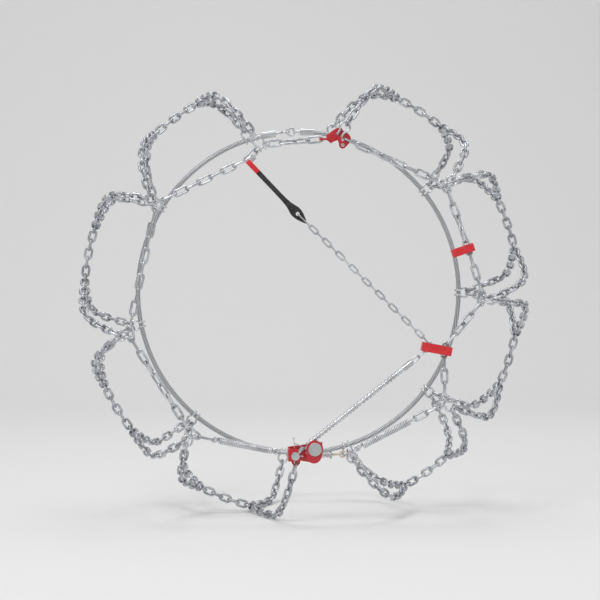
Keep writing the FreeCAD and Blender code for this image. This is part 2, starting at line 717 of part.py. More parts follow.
axle = V(wheel_x, rope_plane, wheel_z)
guide_foot = V(195.9, rope_plane, -88.7)
guide_top = V(203.9, rope_plane, -75.5)
rope_end = V(183.6, rope_plane, -97.9)
reach_x = rope_end.x - axle.x
reach_z = rope_end.z - axle.z
run_angle = math.degrees(math.atan2(reach_z, reach_x)
                         - math.asin(wheel_pitch_radius / math.hypot(reach_x, reach_z)))
run_dir = polar(1.0, run_angle)
run_start = axle + polar(wheel_pitch_radius, run_angle + 90)
tail_angle = 6.0
tail_dir = polar(1.0, tail_angle)
tail_start = axle + polar(wheel_pitch_radius, tail_angle - 90)
eye_length = 13.0
run_length = (rope_end - run_start).Length - eye_length
cut_gap = 0.35              # between the rope on the wheel and the straight rope


def bead(centre, direction):
    """A crimped barrel bead, round at both ends."""
    half = bead_length / 2
    barrel = Part.makeCylinder(bead_radius, bead_length, V(0, 0, -half))
    barrel = barrel.makeFillet(1.0, barrel.Edges)
    barrel = barrel.cut(Part.makeCylinder(core_radius + 0.3, bead_length, V(0, 0, -half)))
    return place(barrel, centre, V(0, 1, 0), direction)


rope_run = cylinder(core_radius, run_start + run_dir * cut_gap, run_dir, run_length - cut_gap)
run_beads = []
sleeve_length = 9.0
sleeve_radius = 5.2
bead_count = int((run_length - 2 * sleeve_length - 3) / bead_pitch)
for i in range(bead_count):
    run_beads.append(bead(run_start + run_dir * (bead_pitch * (i + 0.55)), run_dir))
run_sleeves = []
for i in range(2):
    start = run_start + run_dir * (run_length - 0.9 - (i + 1) * (sleeve_length + 0.6))
    sleeve = cylinder(sleeve_radius, start, run_dir, sleeve_length)
    run_sleeves.append(sleeve.cut(cylinder(core_radius, start, run_dir, sleeve_length)))
eye_wire = 2.6
eye_width = 9.0
eye_end = rope_end + run_dir * ((eye_wire + gap) / 2)
eye_r = (eye_width - eye_wire) / 2
eye_h = eye_length - eye_r - 1.0
rope_eye = link(2 * (eye_h / 2 + eye_r) - gap - eye_wire, eye_width, eye_wire)
rope_eye = place(rope_eye, eye_end - run_dir * (eye_h / 2 + eye_r), run_dir, V(0, -1, 0))
rope_eye = rope_eye.cut(cylinder(core_radius, rope_end - run_dir * 30, run_dir, 30 - eye_length))

wrap_from = run_angle + 90
wrap_to = tail_angle + 270
trim = math.degrees(cut_gap / wheel_pitch_radius)
rope_wrap = Part.makeTorus(wheel_pitch_radius, core_radius, axle, V(0, -1, 0))
wedge = [axle]
for i in range(9):
    a = wrap_from + trim + (wrap_to - wrap_from - 2 * trim) * i / 8
    wedge.append(axle + polar(40, a))
rope_wrap = rope_wrap.common(plate([(p.x, p.z) for p in wedge], rope_plane - 5, rope_plane + 5))
wrap_beads = []
for i in range(4):
    a = wrap_from + 360.0 * (i + 0.45) / wheel_pockets
    wrap_beads.append(bead(axle + polar(wheel_pitch_radius, a), polar(1, a + 90)))

tail_length = 27.0
rope_tail = cylinder(core_radius, tail_start + tail_dir * cut_gap, tail_dir, tail_length - cut_gap)
tail_beads = []
for i in range(2):
    tail_beads.append(bead(tail_start + tail_dir * (12.4 + bead_pitch * i), tail_dir))
stopper_at = tail_start + tail_dir * (tail_length - 2.0)
t_stopper = cylinder(4.2, stopper_at - tail_dir * 1.4, tail_dir, 4.0)
t_stopper = t_stopper.fuse(cylinder(1.9, stopper_at + tail_dir * 0.6 + V(0, 0, -6.8), V(0, 0, 1), 13.6))
t_stopper = t_stopper.cut(cylinder(core_radius, stopper_at - tail_dir * 5, tail_dir, 7.0))
shank_start = stopper_at + tail_dir * 3.1
anchor_ring_centre = anchor_start - anchor_dir * 4.5 + anchor_dir * ((3.4 + gap) / 2)
shank_dir = unit(anchor_ring_centre - shank_start)
anchor_hook = cylinder(2.1, shank_start, shank_dir, (anchor_ring_centre - shank_start).Length - 4.0)
anchor_hook = anchor_hook.fuse(
    place(Part.makeTorus(4.5, 1.7), anchor_ring_centre, anchor_dir, V(0, -1, 0)))
anchor_link = straight_chain(anchor_start, anchor_end, 1, side_width, side_wire, 90)

# ---------- clips ----------


def clip(centre, direction, length, y_front, y_back, height=14.5, wall=2.4):
    """A flat plastic loop with round ends, open along the chain it sits on."""
    half = length / 2
    depth = y_back - y_front
    outer = Part.makeBox(length, depth, height, V(-half, -depth / 2, -height / 2))
    upright = [e for e in outer.Edges if e.BoundBox.ZLength > height - 0.1]
    outer = outer.makeFillet(4.4, upright)
    inner = Part.makeBox(length - 2 * wall, depth - 2 * wall, height,
                         V(-half + wall, -depth / 2 + wall, -height / 2))
    upright = [e for e in inner.Edges if e.BoundBox.ZLength > height - 0.1]
    inner = inner.makeFillet(2.0, upright)
    loop = outer.cut(inner)
    x = polar(1, direction)
    return place(loop, V(centre[0], (y_front + y_back) / 2, centre[1]), x, polar(1, direction + 90))


guide_clip = clip((214.2, -85.5), -10.8, 50.6, -145.6, -120.4)
spare_clip = clip((258.6, 78.6), 18.7, 38.6, -137.6, -118.4, height=13.0)

# ---------- tension line ----------

guide_dir = unit(guide_top - guide_foot)
strap_hole = V(-17.6, rope_plane, 138.8)
line_start = seat(guide_top, guide_dir, thin_width, thin_wire, strap_hole)
line_dir = unit(strap_hole - line_start)
swing_joint = line_start + line_dir * (2 * thin_pitch)
corner_links = straight_chain(rope_end, seat(guide_foot, guide_dir * -1, thin_width, thin_wire,
                                             rope_end), 1, thin_width, thin_wire, 90)
corner_links += straight_chain(guide_foot, guide_top, 1, thin_width, thin_wire, 0)
corner_links += straight_chain(line_start, swing_joint, 2, thin_width, thin_wire, 90)
line_links = 16
chain_end = swing_joint + line_dir * (line_links * thin_pitch)
tension_chain = straight_chain(swing_joint, chain_end, line_links, thin_width, thin_wire, 90)
strap_joint = strap_hole - line_dir * ((thin_wire + gap) / 2 + 0.6)
tension_chain += straight_chain(chain_end, strap_joint, 1, 11.5, thin_wire, 90)

sleeve_top = V(-100.2, rope_plane, 225.6)
strap_dir = unit(sleeve_top - strap_hole)
strap_side = V(strap_dir.z, 0, -strap_dir.x)
sleeve_size = 25.0
sleeve_foot = sleeve_top - strap_dir * sleeve_size
strap_length = (sleeve_foot - strap_hole).Length
strap_thick = 3.6
# half widths of the strap at distances from the middle of its hole
strap_shape = [(-21.0, 1.3), (-14.0, 4.4), (-6.0, 7.4), (1.0, 8.8), (7.0, 8.8), (13.0, 7.2),
               (22.0, 5.0), (34.0, 4.1), (60.0, 3.9), (strap_length, 4.1),
               (strap_length + 3.0, 4.1)]
left = [strap_hole + strap_dir * d + strap_side * w for d, w in strap_shape]
right = [strap_hole + strap_dir * d - strap_side * w for d, w in strap_shape[::-1]]
strap_outline = [(p.x, p.z) for p in left + right]
rubber_strap = plate(strap_outline, rope_plane - strap_thick / 2, rope_plane + strap_thick / 2)
rubber_strap = rubber_strap.cut(
    disc_y(strap_hole.x, strap_hole.z, 3.2, rope_plane - strap_thick, rope_plane + strap_thick))

sleeve_block = Part.makeBox(sleeve_size, 8.4, 5.2, V(0, -4.2, -2.6))
sleeve_block = sleeve_block.makeFillet(1.1, [e for e in sleeve_block.Edges
                                             if e.BoundBox.XLength > sleeve_size - 0.1])
strap_sleeve = place(sleeve_block, sleeve_foot, strap_dir, V(0, -1, 0))
strap_sleeve = strap_sleeve.cut(rubber_strap)
pocket_depth = 12.0         # how far the hook's plate stands in the sleeve
hook_plate = Part.makeBox(pocket_depth + 4.0, 4.2, 1.8, V(sleeve_size - pocket_depth, -2.1, -0.9))
pocket = Part.makeBox(pocket_depth + 0.1, 4.3, 1.9,
                      V(sleeve_size - pocket_depth - 0.05, -2.15, -0.95))
pocket = place(pocket, sleeve_foot, strap_dir, V(0, -1, 0))
strap_sleeve = strap_sleeve.cut(pocket)
prong_at = flat(-95.9, 232.8, rope_plane)
strap_hook = place(hook_plate, sleeve_foot, strap_dir, V(0, -1, 0))
neck_start = sleeve_foot + strap_dir * (sleeve_size + 2.5)
strap_hook = strap_hook.fuse(cylinder(1.7, neck_start, prong_at - neck_start,
                                      (prong_at - neck_start).Length))
strap_hook = strap_hook.fuse(Part.makeSphere(1.7, prong_at)).fuse(
    cylinder(1.7, prong_at, V(0, 1, 0), 14.0))
# a flat tab turns back beside the sleeve, on the right
tab_side = strap_side if strap_side.x > 0 else strap_side * -1
tab_outline = [(0.4, -1.6), (2.6, -1.6), (2.6, 13.5), (-7.0, 13.5), (-7.0, 4.9), (0.4, 4.9)]
tab_corners = [sleeve_top + strap_dir * along + tab_side * across for along, across in tab_outline]
tab = plate([(p.x, p.z) for p in tab_corners], rope_plane - 0.9, rope_plane + 0.9)
strap_hook = strap_hook.fuse(tab).removeSplitter()

# ---------- inner hoop ----------

hoop_start = hoop_top + hoop_opening
hoop_end = hoop_top - hoop_opening + 360.0
hoop_centre = V(0, inner_plane, 0)
ring = Part.makeTorus(hoop_radius, hoop_wire / 2, hoop_centre, V(0, -1, 0))
wedge = [V(0, 0, 0)]
for i in range(4):
    wedge.append(polar(hoop_radius + 60, hoop_top - hoop_opening
                       + 2 * hoop_opening * i / 3, 0))
hoop_rope = ring.cut(plate([(p.x, p.z) for p in wedge], inner_plane - 10, inner_plane + 10))
ferrule_length = 24.0
ferrules = []
for angle, s in ((hoop_start, 1), (hoop_end - 360.0, -1)):
    end = polar(hoop_radius, angle, inner_plane)
    along = polar(1, angle + 90 * s)
    outside = cylinder(6.4, end - along * 3.0, along, ferrule_length)
    ferrules.append(outside.cut(hoop_rope).cut(
        cylinder(hoop_wire / 2, end + along * 12, along, ferrule_length)))
ferrules = [max(f.Solids, key=lambda s: s.Volume) for f in ferrules]

hoop_along = polar(1, hoop_top + 90)
hoop_out = polar(1, hoop_top)
hoop_eye_wire = 4.0
hoop_eye_radius = 7.0
eye_centre = polar(hoop_radius, hoop_top, inner_plane) - hoop_along * 4.8
hook_centre = eye_centre + hoop_along * (2 * hoop_eye_radius - hoop_eye_wire - gap)


def hoop_ring(centre, from_angle, sign, normal):
    """A round eye on a neck that grows out of one rope end."""
    ring = place(Part.makeTorus(hoop_eye_radius, hoop_eye_wire / 2), centre, hoop_along, normal)
    start = polar(hoop_radius, from_angle, inner_plane) - polar(3.4, from_angle + 90 * sign)
    neck = centre - start
    return ring.fuse(cylinder(2.4, start, neck, neck.Length - hoop_eye_radius))


hoop_eye = hoop_ring(eye_centre, hoop_end - 360.0, -1, V(0, 1, 0))
hoop_hook = hoop_ring(hook_centre, hoop_start, 1, hoop_out)
mouth_at = hook_centre + V(0, hoop_eye_radius, 0) + hoop_along * 1.0
hook_mouth = place(Part.makeBox(5.0, 6.0, 6.0, V(-2.5, -3.0, -3.0)), mouth_at, hoop_along, hoop_out)
hoop_hook = hoop_hook.cut(hook_mouth)

# ---------- writing ----------

parts = {
    "outer_hooks": [hook[0] for hook in outer_hooks.values()],
    "inner_hooks": [hook[0] for hook in inner_hooks.values()],
    "node_links": sum([node_link(name) for name in nodes], []),
    "junction_rings": rings,
    "spring_left": [spring_solid(spring_left, spring_left_joints, V(0, -1, 0))],
    "spring_right": [spring_solid(spring_right, spring_right_joints, V(1, 0, -2))],
    "spring_end_link": spring_link,
    "closing_hook": [closing_hook],
    "closing_hook_keeper": [hook_keeper],
    "closing_hook_rivet": [keeper_rivet],
    "ratchet_body": [ratchet_body],
    "ratchet_wheel_cover": [wheel_cover],
    "ratchet_wheel": [ratchet_wheel],
    "ratchet_wheel_axle": [wheel_axle],
    "pawl": [pawl],
    "pawl_axle": [pawl_axle],
    "pawl_spring": [pawl_spring],
    "release_lever": [release_lever],
    "rope_wrap": [rope_wrap] + wrap_beads,
    "rope_run": [rope_run] + run_beads,
    "rope_run_sleeves": run_sleeves,
    "rope_eye": [rope_eye],
    "rope_tail": [rope_tail] + tail_beads,
    "t_stopper": [t_stopper],
    "anchor_hook": [anchor_hook],
    "anchor_link": anchor_link,
    "guide_clip": [guide_clip],
    "spare_clip": [spare_clip],
    "corner_links": corner_links,
    "tension_chain": tension_chain,
    "rubber_strap": [rubber_strap],
    "strap_sleeve": [strap_sleeve],
    "strap_hook": [strap_hook],
    "inner_hoop_rope": [hoop_rope],
    "inner_hoop_ferrules": ferrules,
    "inner_hoop_eye": [hoop_eye],
    "inner_hoop_hook": [hoop_hook],
}
for name, links in outer_spans.items():
    parts["side_chain_" + name] = links
for i in range(len(panels)):
    parts["cross_chain_%d" % (i + 1)] = panel_arms[i]
    parts["tread_bar_%d" % (i + 1)] = panel_bars[i]

os.makedirs("parts", exist_ok=True)
for name, solids in parts.items():
    shape = solids[0] if len(solids) == 1 else Part.makeCompound(solids)
    if not shape.isValid() or min(s.Volume for s in shape.Solids) <= 0:
        print("check", name, shape.isValid(), len(shape.Solids))
    shape.exportStep("parts/" + name + ".step")
print(len(parts), "nodes,", sum(len(solids) for solids in parts.values()), "solids")
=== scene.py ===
import json
import math

import bmesh
import bpy
import numpy as np
from mathutils import Matrix, Vector


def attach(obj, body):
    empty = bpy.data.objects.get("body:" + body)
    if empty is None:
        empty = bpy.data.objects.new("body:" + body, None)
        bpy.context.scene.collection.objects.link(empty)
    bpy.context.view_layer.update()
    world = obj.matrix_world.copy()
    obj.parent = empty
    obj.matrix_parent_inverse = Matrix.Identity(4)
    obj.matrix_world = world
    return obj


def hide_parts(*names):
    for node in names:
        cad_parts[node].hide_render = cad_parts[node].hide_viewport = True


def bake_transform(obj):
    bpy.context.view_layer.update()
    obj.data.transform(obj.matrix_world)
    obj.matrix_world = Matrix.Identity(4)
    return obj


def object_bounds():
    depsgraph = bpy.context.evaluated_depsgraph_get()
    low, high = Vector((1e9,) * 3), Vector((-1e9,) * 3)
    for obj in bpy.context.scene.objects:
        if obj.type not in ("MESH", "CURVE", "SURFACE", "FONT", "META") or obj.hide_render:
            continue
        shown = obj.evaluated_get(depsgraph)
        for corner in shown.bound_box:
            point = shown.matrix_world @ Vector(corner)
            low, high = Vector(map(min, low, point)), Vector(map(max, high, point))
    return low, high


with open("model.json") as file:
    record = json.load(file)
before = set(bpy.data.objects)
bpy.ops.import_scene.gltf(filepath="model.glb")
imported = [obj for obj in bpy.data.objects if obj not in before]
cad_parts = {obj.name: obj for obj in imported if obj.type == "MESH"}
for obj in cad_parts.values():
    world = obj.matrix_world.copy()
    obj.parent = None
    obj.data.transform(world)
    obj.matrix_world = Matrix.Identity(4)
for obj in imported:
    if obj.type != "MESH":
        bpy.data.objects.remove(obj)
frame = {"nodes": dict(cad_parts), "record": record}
nodes = frame["nodes"]
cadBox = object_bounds()
scene = bpy.context.scene
print("frame loaded with", len(nodes), "nodes")

bodyOf = {}
for bodyName, memberNames in frame["record"]["behaviour"]["bodies"].items():
    for nodeName in memberNames:
        bodyOf[nodeName] = bodyName


class Sock:  # one output of a shader node, usable in plain expressions
    def __init__(self, finish, socket):
        self.finish = finish
        self.socket = socket

    def __add__(self, other):
        return self.finish.maths("ADD", self, other)

    __radd__ = __add__

    def __sub__(self, other):
        return self.finish.maths("SUBTRACT", self, other)

    def __rsub__(self, other):
        return self.finish.maths("SUBTRACT", other, self)

    def __mul__(self, other):
        return self.finish.maths("MULTIPLY", self, other)

    __rmul__ = __mul__

    def __pow__(self, other):
        return self.finish.maths("POWER", self, other)

    def __rpow__(self, other):
        return self.finish.maths("POWER", other, self)


class Finish:  # one material and the few ways to build it
    def __init__(self, name):
        self.material = bpy.data.materials.new(name)
        self.material.use_nodes = True
        self.tree = self.material.node_tree
        self.shader = next(n for n in self.tree.nodes if n.type == "BSDF_PRINCIPLED")
        self.place = self.node("ShaderNodeTexCoord", output="Object")

    def node(self, kind, settings=None, inputs=None, output=0):
        made = self.tree.nodes.new(kind)
        for key, value in (settings or {}).items():
            setattr(made, key, value)
        for key, value in (inputs or {}).items():
            self.feed(made.inputs[key], value)
        return Sock(self, made.outputs[output])

    def feed(self, socket, value):
        if isinstance(value, Sock):
            self.tree.links.new(value.socket, socket)
        else:
            socket.default_value = value

    def maths(self, operation, first, second=0.0, clamp=False):
        settings = {"operation": operation, "use_clamp": clamp}
        return self.node("ShaderNodeMath", settings, {0: first, 1: second})

    def blend(self, factor, first, second):
        inputs = {0: factor, 6: (*first, 1.0), 7: (*second, 1.0)}
        return self.node("ShaderNodeMix", {"data_type": "RGBA"}, inputs, output=2)

    def noise(self, scale, detail=3.0, roughness=0.5):
        inputs = {"Vector": self.place, "Scale": scale, "Detail": detail, "Roughness": roughness}
        return self.node("ShaderNodeTexNoise", None, inputs)

    def between(self, value, low, high):  # 0 below low, 1 above high
        return self.maths("MULTIPLY", value - low, 1.0 / (high - low), clamp=True)

    def part(self, axis):
        return self.node("ShaderNodeSeparateXYZ", None, {0: self.place}, output=axis)

    def set(self, **sockets):
        for key, value in sockets.items():
            self.feed(self.shader.inputs[key.replace("_", " ")], value)

    def bump(self, height, strength, distance):
        inputs = {"Height": height, "Strength": strength, "Distance": distance}
        self.set(Normal=self.node("ShaderNodeBump", None, inputs))


zincLook = {"cloud": 55.0, "grain": (900.0, 2.0), "cloudShare": 0.7, "grainShare": 0.3,
            "patches": (0.38, 0.62), "spots": (0.3, 0.7), "bump": (0.12, 0.0003)}


def galvanisedFinish(name, light, dark, smooth, rough):
    finish = Finish(name)
    cloud = finish.noise(zincLook["cloud"])
    grain = finish.noise(*zincLook["grain"])
    mixed = cloud * zincLook["cloudShare"] + grain * zincLook["grainShare"]
    mask = finish.between(mixed, *zincLook["patches"])
    finish.set(Base_Color=finish.blend(mask, dark, light), Metallic=1.0)
    spots = finish.between(grain, *zincLook["spots"])
    finish.set(Roughness=smooth + (rough - smooth) * spots)
    finish.bump(grain, *zincLook["bump"])
    return finish.material


paintLook = {"scuff": (420.0, 4.0, 0.6), "worn": (0.66, 0.74), "dull": (0.35, 0.65),
             "dullness": 0.18, "coatRoughness": 0.12, "peel": 260.0, "bump": (0.08, 0.0004)}


def paintFinish(name, colour, wornColour, gloss, coat):
    finish = Finish(name)
    scuff = finish.noise(*paintLook["scuff"])
    worn = finish.between(scuff, *paintLook["worn"])
    finish.set(Base_Color=finish.blend(worn, colour, wornColour))
    dull = finish.between(scuff, *paintLook["dull"])
    finish.set(Roughness=gloss + paintLook["dullness"] * dull)
    finish.set(Coat_Weight=coat, Coat_Roughness=paintLook["coatRoughness"])
    finish.bump(finish.noise(paintLook["peel"]), *paintLook["bump"])
    return finish.material


plasticLook = {"cloud": 90.0, "pale": (0.35, 0.7), "speckle": 700.0, "speckleShare": 0.12,
               "grain": (1100.0, 2.0), "bump": (0.1, 0.0002)}


def plasticFinish(name, colour, paleColour, rough):
    finish = Finish(name)
    pale = finish.between(finish.noise(plasticLook["cloud"]), *plasticLook["pale"])
    finish.set(Base_Color=finish.blend(pale, colour, paleColour))
    speckle = finish.noise(plasticLook["speckle"])
    finish.set(Roughness=rough + plasticLook["speckleShare"] * speckle)
    finish.bump(finish.noise(*plasticLook["grain"]), *plasticLook["bump"])
    return finish.material


rubberLook = {"dust": (160.0, 5.0), "dusty": (0.45, 0.8), "colour": (0.012,) * 3,
              "dustColour": (0.05,) * 3, "rough": 0.5, "dustShare": 0.25, "grain": 1400.0,
              "bump": (0.2, 0.0002)}


def rubberFinish(name):
    finish = Finish(name)
    dust = finish.noise(*rubberLook["dust"])
    dusty = finish.between(dust, *rubberLook["dusty"])
    finish.set(Base_Color=finish.blend(dusty, rubberLook["colour"], rubberLook["dustColour"]))
    finish.set(Roughness=rubberLook["rough"] + rubberLook["dustShare"] * dust)
    finish.bump(finish.noise(rubberLook["grain"]), *rubberLook["bump"])
    return finish.material


# the dark colour is painted shade in the grooves between the strands, the light colour is the
# strand tops
hoopRope = {"radius": 0.290, "plane": 0.1285, "strands": 6, "twistsPerMetre": 26.0,
            "dark": (0.12, 0.12, 0.13), "light": (0.50, 0.51, 0.53), "grooves": (0.05, 0.5),
            "rough": 0.36, "speckle": 500.0, "speckleShare": 0.15, "bump": (0.9, 0.0009)}


def hoopFinish(name):
    # strands that wind round the rope while it goes round the wheel
    finish = Finish(name)
    x = finish.part("X")
    y = finish.part("Y")
    z = finish.part("Z")
    reach = finish.maths("SQRT", x * x + z * z)
    along = finish.maths("ARCTAN2", z, x) * hoopRope["radius"]
    around = finish.maths("ARCTAN2", y - hoopRope["plane"], reach - hoopRope["radius"])
    turns = along * (hoopRope["twistsPerMetre"] * 2 * math.pi)
    wave = finish.maths("SINE", around * (hoopRope["strands"] / 2) + turns)
    strand = finish.maths("ABSOLUTE", wave)
    # painted shade: the grooves between the strands are darkened in the base colour
    paintedGrooveShade = finish.between(strand, *hoopRope["grooves"])
    finish.set(Base_Color=finish.blend(paintedGrooveShade, hoopRope["dark"], hoopRope["light"]), Metallic=1.0)
    speckle = finish.noise(hoopRope["speckle"])
    finish.set(Roughness=hoopRope["rough"] + hoopRope["speckleShare"] * speckle)
    finish.bump(strand ** 0.5, *hoopRope["bump"])
    return finish.material


# light and dark colour, then the smoothest and the roughest spots
steels = {
    "chain": ("galvanised steel", (0.70, 0.72, 0.75), (0.36, 0.37, 0.40), 0.22, 0.38),
    "crossChain": ("cross chain steel", (0.66, 0.68, 0.71), (0.33, 0.34, 0.37), 0.24, 0.42),
    "hook": ("hook steel", (0.76, 0.77, 0.80), (0.48, 0.49, 0.52), 0.20, 0.34),
    "spring": ("spring steel", (0.78, 0.79, 0.81), (0.56, 0.57, 0.59), 0.24, 0.36),
    "rope": ("rope beads", (0.68, 0.69, 0.71), (0.44, 0.45, 0.47), 0.28, 0.42),
    "cap": ("plated rivet head", (0.62, 0.63, 0.64), (0.45, 0.46, 0.47), 0.30, 0.46),
    "shank": ("pale zinc shank", (0.78, 0.70, 0.55), (0.60, 0.52, 0.40), 0.26, 0.40),
}
redPaint = {"colour": (0.50, 0.006, 0.016), "wornColour": (0.26, 0.008, 0.012),
            "gloss": 0.28, "coat": 0.35}
redPlastic = {"colour": (0.62, 0.012, 0.020), "paleColour": (0.70, 0.03, 0.035), "rough": 0.34}

finishes = {key: galvanisedFinish(*steel) for key, steel in steels.items()}
finishes["redPaint"] = paintFinish("red lacquer", **redPaint)
finishes["redPlastic"] = plasticFinish("red plastic", **redPlastic)
finishes["rubber"] = rubberFinish("black rubber")
finishes["hoop"] = hoopFinish("stranded hoop rope")
print("finishes ready")


# the finish of each CAD piece and of its rounded copy; the nodes not named here are chain
finishOfNode = {
    "closing_hook_rivet": "cap", "ratchet_wheel_axle": "cap", "pawl_axle": "cap",
    "ratchet_wheel": "hook", "pawl": "hook", "release_lever": "hook", "pawl_spring": "spring",
    "rope_run": "rope", "rope_wrap": "rope", "rope_tail": "rope", "rope_run_sleeves": "cap",
    "rope_eye": "hook", "anchor_hook": "shank", "strap_hook": "hook",
    "outer_hooks": "hook", "inner_hooks": "hook", "inner_hoop_rope": "hoop",
    "inner_hoop_ferrules": "cap", "inner_hoop_eye": "hook", "inner_hoop_hook": "hook",
    "closing_hook": "redPaint", "closing_hook_keeper": "redPaint", "ratchet_body": "redPaint",
    "ratchet_wheel_cover": "redPaint", "guide_clip": "redPlastic", "spare_clip": "redPlastic",
    "strap_sleeve": "redPlastic", "t_stopper": "cap", "rubber_strap": "rubber",
}


def coat(piece, finishName):
    piece.data.materials.clear()
    piece.data.materials.append(finishes[finishName])


crossStarts = ("cross_chain", "tread_bar", "junction")
for nodeName, piece in nodes.items():
    plain = "crossChain" if nodeName.startswith(crossStarts) else "chain"
    coat(piece, finishOfNode.get(nodeName, plain))
print("CAD pieces coated")


def slotOf(nodeName):
    parts = frame["record"]["subparts"]
    return next(p["material_slot"] for p in parts if p["node"] == nodeName)


def settle(piece):
    # turns the live modifiers into plain mesh and takes them off
    shown = piece.evaluated_get(bpy.context.evaluated_depsgraph_get())
    baked = bpy.data.meshes.new_from_object(shown)
    piece.modifiers.clear()
    piece.data = baked


def grow(name, tree, values, data=None):
    # a new piece from a geometry tree, with its inputs set by their identifiers
    piece = bpy.data.objects.new(name, data or bpy.data.meshes.new(name))
    scene.collection.objects.link(piece)
    modifier = piece.modifiers.new("shape", "NODES")
    modifier.node_group = tree
    for item in tree.interface.items_tree:
        if item.item_type == "SOCKET" and item.in_out == "INPUT" and item.name in values:
            modifier[item.identifier] = values[item.name]
    settle(piece)
    return piece


def joined(name, pieces):
    mesh = bmesh.new()
    for piece in pieces:
        mesh.from_mesh(piece.data)
    for face in mesh.faces:
        face.material_index = 0
    data = bpy.data.meshes.new(name)
    mesh.to_mesh(data)
    mesh.free()
    data.shade_smooth()
    material = next(m for m in pieces[0].data.materials if m)
    for piece in pieces:
        bpy.data.objects.remove(piece)
    whole = bpy.data.objects.new(name, data)
    scene.collection.objects.link(whole)
    data.materials.append(material)
    return whole


linkLook = {"cornerSteps": 4, "wireSides": 8, "weldBulge": 1.16, "weldLength": 1.5,
            "weldDepth": 0.94, "cornerShare": 0.4999, "alike": (0.0012, 0.0006, 0.0003),
            "gridPerMetre": 1e5, "gridSpan": 300000}
sideNodes = [n for n in nodes if n.startswith("side_chain")]
crossNodes = [n for n in nodes if n.startswith(("cross_chain", "tread_bar"))]
# each new piece with its finish and the nodes that it stands for, which all ride on one body
linkPieces = {
    "sideChainLinks": ("chain", sideNodes + ["node_links", "spring_end_link", "corner_links"]),
    "crossChainLinks": ("crossChain", crossNodes),
    "anchorLink": ("chain", ["anchor_link"]),
    "pullChainLinks": ("chain", ["tension_chain"]),
    "junctionRings": ("crossChain", ["junction_rings"]),
}


def islandsOf(nodeName):
    # the separate solids of a node, as arrays of points; a solid's triangles follow one another,
    # and corners that round to the same grid place are one point
    data = nodes[nodeName].data
    points = np.zeros(len(data.vertices) * 3)
    data.vertices.foreach_get("co", points)
    points = points.reshape(-1, 3)
    corners = np.zeros(len(data.loops), dtype=np.int64)
    data.loops.foreach_get("vertex_index", corners)
    grid = np.round((points + 1.0) * linkLook["gridPerMetre"]).astype(np.int64)
    span = linkLook["gridSpan"]
    key = (grid[:, 0] * span + grid[:, 1]) * span + grid[:, 2]
    same = np.unique(key, return_inverse=True)[1].reshape(-1)
    used = same[corners]
    triangle = np.arange(len(used)) // 3
    last = np.zeros(used.max() + 1, dtype=np.int64)
    last[used] = triangle
    reach = np.maximum.accumulate(last[used].reshape(-1, 3).max(axis=1))
    ends = np.flatnonzero(reach == np.arange(len(reach))) + 1
    starts = np.concatenate(([0], ends[:-1]))
    return [points[np.unique(corners[a * 3:b * 3])] for a, b in zip(starts, ends)]


def measured(island):
    # middle, turn and sizes of one link: long way, broad way and wire
    middle = (island.max(axis=0) + island.min(axis=0)) / 2
    away = island - island.mean(axis=0)
    axes = np.linalg.eigh(away.T @ away)[1][:, ::-1]
    if np.linalg.det(axes) < 0:
        axes[:, 2] *= -1
    spread = (island - middle) @ axes
    middle = middle + axes @ ((spread.max(axis=0) + spread.min(axis=0)) / 2)
    return middle, axes, spread.max(axis=0) - spread.min(axis=0)


class Growth:  # one geometry tree with named inputs that ends in a finished, real mesh
    def __init__(self, name, labels, takesGeometry=False):
        self.tree = bpy.data.node_groups.new(name, "GeometryNodeTree")
        self.socket("Geometry", "NodeSocketGeometry", "OUTPUT")
        if takesGeometry:
            self.socket("Geometry", "NodeSocketGeometry")
        for label in labels:
            self.socket(label, "NodeSocketFloat")
        self.socket("Finish", "NodeSocketMaterial")
        self.given = self.tree.nodes.new("NodeGroupInput").outputs

    def socket(self, label, kind, direction="INPUT"):
        self.tree.interface.new_socket(label, in_out=direction, socket_type=kind)

    def node(self, kind, settings=None, inputs=None):
        # adds a node and gives its first output; a list feeds one socket several times
        made = self.tree.nodes.new(kind)
        for key, value in (settings or {}).items():
            setattr(made, key, value)
        for key, value in (inputs or {}).items():
            for one in value if isinstance(value, list) else [value]:
                if isinstance(one, bpy.types.NodeSocket):
                    self.tree.links.new(one, made.inputs[key])
                else:
                    made.inputs[key].default_value = one
        return made.outputs[0]

    def scaled(self, value, factor):
        return self.node("ShaderNodeMath", {"operation": "MULTIPLY"}, {0: value, 1: factor})

    def attribute(self, name, kind):
        settings = {"data_type": kind}
        return self.node("GeometryNodeInputNamedAttribute", settings, {"Name": name})

    def finish(self, shape):
        smooth = self.node("GeometryNodeSetShadeSmooth", None, {0: shape})
        real = self.node("GeometryNodeRealizeInstances", None, {0: smooth})
        inputs = {"Geometry": real, "Material": self.given["Finish"]}
        coloured = self.node("GeometryNodeSetMaterial", None, inputs)
        result = self.tree.nodes.new("NodeGroupOutput")
        self.tree.links.new(coloured, result.inputs[0])
        return self.tree


